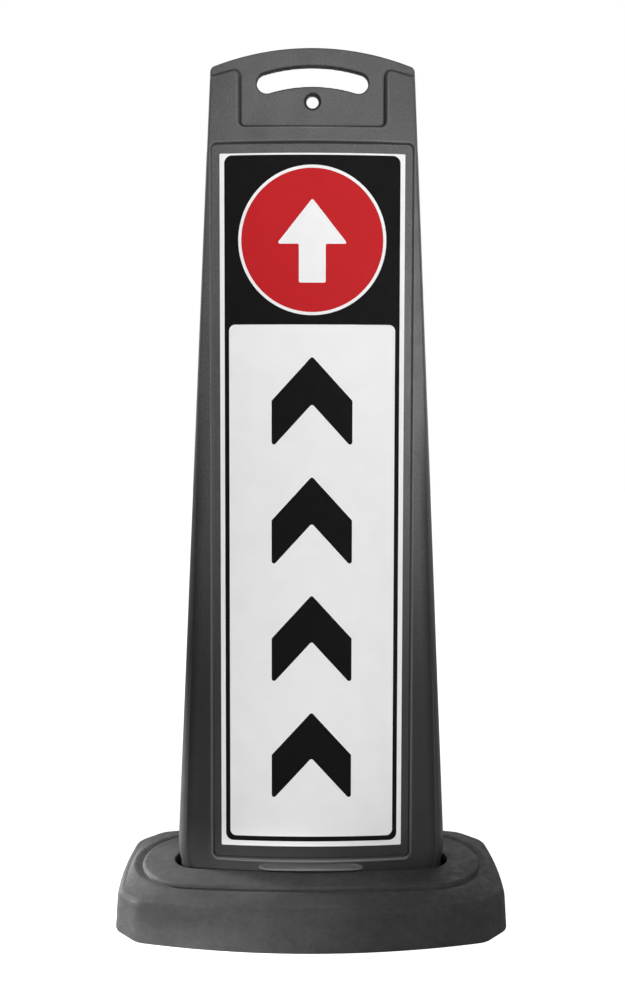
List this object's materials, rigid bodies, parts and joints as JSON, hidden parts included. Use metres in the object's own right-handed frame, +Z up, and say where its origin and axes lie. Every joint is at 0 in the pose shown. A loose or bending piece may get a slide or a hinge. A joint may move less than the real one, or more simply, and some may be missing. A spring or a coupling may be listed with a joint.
{
  "type": "sign panel",
  "caption": "Portable upright sign panel: a hollow moulded plastic board with a grip slot, a recessed sign sheet and a drop-over rubber base.",
  "frame": {"origin": "on the ground, in the middle of the base's footprint", "axes": "+Z up, -Y out of the face that carries the sign sheet, +X to the right of someone who looks along +Y at that face"},
  "size_m": [0.519, 0.2854, 1.1412],
  "materials": {
    "panel": "satin black moulded polyethylene",
    "sign_sheet": "printed self-adhesive sheet",
    "rubber_base": "matt recycled rubber"
  },
  "bodies": {
    "panel": {"panel": "panel", "sign_sheet": "sign_sheet"},
    "base": {"rubber_base": "rubber_base"}
  },
  "joints": [
    {"name": "base_lift", "type": "slide", "parent": "panel", "child": "base", "axis": [0, 0, 1], "range_m": [0, 1.15]}
  ]
}
